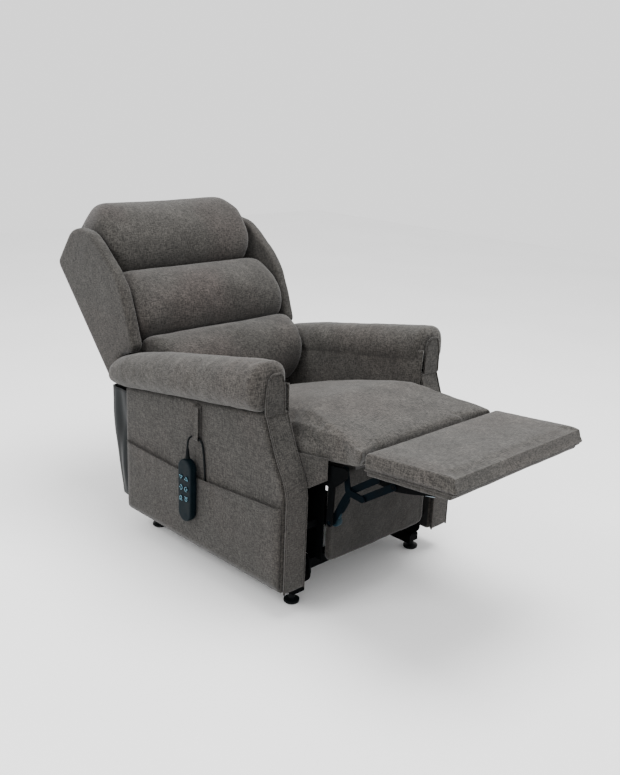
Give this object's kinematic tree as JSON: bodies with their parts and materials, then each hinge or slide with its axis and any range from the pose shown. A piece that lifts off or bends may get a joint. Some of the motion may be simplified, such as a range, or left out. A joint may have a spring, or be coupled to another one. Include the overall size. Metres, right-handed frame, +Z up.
{
  "type": "lift recliner chair",
  "caption": "Upholstered rise and recline armchair with a lift base, sliding seat, folding footrest, reclining back and a corded handset in a side pocket.",
  "frame": {"origin": "on the floor, under the middle of the chair's bounding box with the footrest out and the back reclined", "axes": "+Z up, the chair faces -Y, +X is the sitter's left"},
  "size_m": [0.74, 1.5163, 0.9399],
  "materials": {
    "chenille_side": "grey-brown chenille weave",
    "chenille_top": "grey-brown chenille weave over padding",
    "lining": "dark grey lining cloth",
    "black_steel": "semi-gloss black powder coat",
    "zinc_steel": "zinc plate",
    "timber": "plywood",
    "black_plastic": "fine texture",
    "handset_plastic": "satin",
    "button_rubber": "soft",
    "cord_skin": "satin"
  },
  "bodies": {
    "base": {"base_frame": "black_steel", "glide_foot_front_left": "black_plastic", "glide_foot_front_right": "black_plastic", "glide_foot_rear_left": "black_plastic", "glide_foot_rear_right": "black_plastic"},
    "rear_lift_arm": {"lift_arm_rear": "black_steel"},
    "front_lift_links": {"lift_link_front_left": "black_steel", "lift_link_front_right": "black_steel"},
    "chassis": {"side_frame": "black_steel", "arm_panel_left": "chenille_side", "arm_panel_right": "chenille_side", "arm_roll_left": "chenille_top", "arm_roll_right": "chenille_top", "arm_facing_left": "chenille_side", "arm_facing_right": "chenille_side", "kick_board": "chenille_side", "side_pocket": "chenille_side", "handset_loop": "chenille_side", "cord_gland": "black_plastic", "recline_motor_body": "black_plastic", "control_box": "black_plastic", "power_inlet": "black_plastic", "rear_valance": "lining", "handset_cord": "cord_skin"},
    "lift_motor": {"lift_motor_body": "black_plastic"},
    "lift_rod": {"lift_motor_rod": "zinc_steel"},
    "seat_carriage": {"seat_frame": "black_steel", "seat_deck": "timber", "seat_cushion": "chenille_top", "seat_skirt_left": "chenille_side", "seat_skirt_right": "chenille_side", "recline_motor_rod": "zinc_steel"},
    "footrest_cranks": {"footrest_crank_left": "black_steel", "footrest_crank_right": "black_steel"},
    "footrest_drive_links": {"footrest_drive_link_left": "black_steel", "footrest_drive_link_right": "black_steel"},
    "footrest_long_links": {"footrest_long_link_left": "black_steel", "footrest_long_link_right": "black_steel"},
    "footrest_curved_links": {"footrest_curved_link_left": "zinc_steel", "footrest_curved_link_right": "zinc_steel"},
    "footrest": {"footrest_frame": "black_steel", "footrest_pad": "chenille_top", "footrest_base": "chenille_side"},
    "backrest": {"back_frame": "black_steel", "back_wing_left": "chenille_side", "back_wing_right": "chenille_side", "outer_back": "chenille_side", "lumbar_cushion": "chenille_top", "middle_cushion": "chenille_top", "head_cushion": "chenille_top"},
    "handset": {"handset_case": "handset_plastic", "cord_strain_relief": "cord_skin"},
    "button_lift_up": {"handset_button_lift_up": "button_rubber"},
    "button_lift_down": {"handset_button_lift_down": "button_rubber"},
    "button_recline_up": {"handset_button_recline_up": "button_rubber"},
    "button_recline_down": {"handset_button_recline_down": "button_rubber"},
    "button_memory_up": {"handset_button_memory_up": "button_rubber"},
    "button_memory_down": {"handset_button_memory_down": "button_rubber"}
  },
  "joints": [
    {"name": "lift", "type": "hinge", "parent": "base", "child": "rear_lift_arm", "pos_m": [0, -0.205, 0.166], "axis": [1, 0, 0], "range_deg": [0, 50]},
    {"name": "chair_tilt", "type": "hinge", "parent": "rear_lift_arm", "child": "chassis", "pos_m": [0, 0.318, 0.19], "axis": [1, 0, 0], "range_deg": [-28, 0]},
    {"name": "front_link_swing", "type": "hinge", "parent": "base", "child": "front_lift_links", "pos_m": [0, -0.286, 0.127], "axis": [1, 0, 0], "range_deg": [0, 57.7]},
    {"name": "lift_motor_swing", "type": "hinge", "parent": "base", "child": "lift_motor", "pos_m": [0, -0.22, 0.1], "axis": [1, 0, 0], "range_deg": [0, 49.9]},
    {"name": "lift_rod_slide", "type": "slide", "parent": "lift_motor", "child": "lift_rod", "axis": [0, 0.9226, 0.3857], "range_m": [0, 0.1034]},
    {"name": "seat_slide", "type": "slide", "parent": "chassis", "child": "seat_carriage", "axis": [0, 0.9848, -0.1736], "range_m": [0, 0.12], "deforming": ["rear_valance"]},
    {"name": "footrest_fold", "type": "hinge", "parent": "seat_carriage", "child": "footrest_cranks", "pos_m": [0, -0.412, 0.418], "axis": [1, 0, 0], "range_deg": [0, 94.2]},
    {"name": "drive_link_swing", "type": "hinge", "parent": "seat_carriage", "child": "footrest_drive_links", "pos_m": [0, -0.376, 0.381], "axis": [1, 0, 0], "range_deg": [0, 70.75]},
    {"name": "long_link_swing", "type": "hinge", "parent": "footrest_cranks", "child": "footrest_long_links", "pos_m": [0, -0.424, 0.364], "axis": [1, 0, 0], "range_deg": [-66.4, 0]},
    {"name": "curved_link_swing", "type": "hinge", "parent": "footrest_cranks", "child": "footrest_curved_links", "pos_m": [0, -0.469, 0.36], "axis": [1, 0, 0], "range_deg": [-64.2, 0]},
    {"name": "footrest_tilt", "type": "hinge", "parent": "footrest_long_links", "child": "footrest", "pos_m": [0, -0.508, 0.422], "axis": [1, 0, 0], "range_deg": [0, 63.2]},
    {"name": "back_recline", "type": "hinge", "parent": "seat_carriage", "child": "backrest", "pos_m": [0, 0.372, 0.42], "axis": [1, 0, 0], "range_deg": [0, 25]},
    {"name": "handset_swing", "type": "hinge", "parent": "chassis", "child": "handset", "pos_m": [-0.351, 0.047, 0.367], "axis": [1, 0, 0], "range_deg": [-15, 15]},
    {"name": "press_lift_up", "type": "slide", "parent": "handset", "child": "button_lift_up", "axis": [1, 0, 0], "range_m": [0, 0.0012], "stiffness_N_per_m": 200},
    {"name": "press_lift_down", "type": "slide", "parent": "handset", "child": "button_lift_down", "axis": [1, 0, 0], "range_m": [0, 0.0012], "stiffness_N_per_m": 200},
    {"name": "press_recline_up", "type": "slide", "parent": "handset", "child": "button_recline_up", "axis": [1, 0, 0], "range_m": [0, 0.0012], "stiffness_N_per_m": 200},
    {"name": "press_recline_down", "type": "slide", "parent": "handset", "child": "button_recline_down", "axis": [1, 0, 0], "range_m": [0, 0.0012], "stiffness_N_per_m": 200},
    {"name": "press_memory_up", "type": "slide", "parent": "handset", "child": "button_memory_up", "axis": [1, 0, 0], "range_m": [0, 0.0012], "stiffness_N_per_m": 200},
    {"name": "press_memory_down", "type": "slide", "parent": "handset", "child": "button_memory_down", "axis": [1, 0, 0], "range_m": [0, 0.0012], "stiffness_N_per_m": 200}
  ],
  "couplings": [
    {"joint": "chair_tilt", "follows": "lift", "ratio": -0.56},
    {"joint": "front_link_swing", "follows": "lift", "ratio": 1.1538},
    {"joint": "lift_motor_swing", "follows": "lift", "ratio": 0.9966},
    {"joint": "lift_rod_slide", "follows": "lift", "m_per_rad": 0.11841},
    {"joint": "footrest_fold", "follows": "seat_slide", "rad_per_m": 13.701},
    {"joint": "drive_link_swing", "follows": "seat_slide", "rad_per_m": 10.284},
    {"joint": "long_link_swing", "follows": "seat_slide", "rad_per_m": -9.6488},
    {"joint": "curved_link_swing", "follows": "seat_slide", "rad_per_m": -9.3346},
    {"joint": "footrest_tilt", "follows": "seat_slide", "rad_per_m": 9.1833},
    {"joint": "back_recline", "follows": "seat_slide", "rad_per_m": 3.6361}
  ]
}
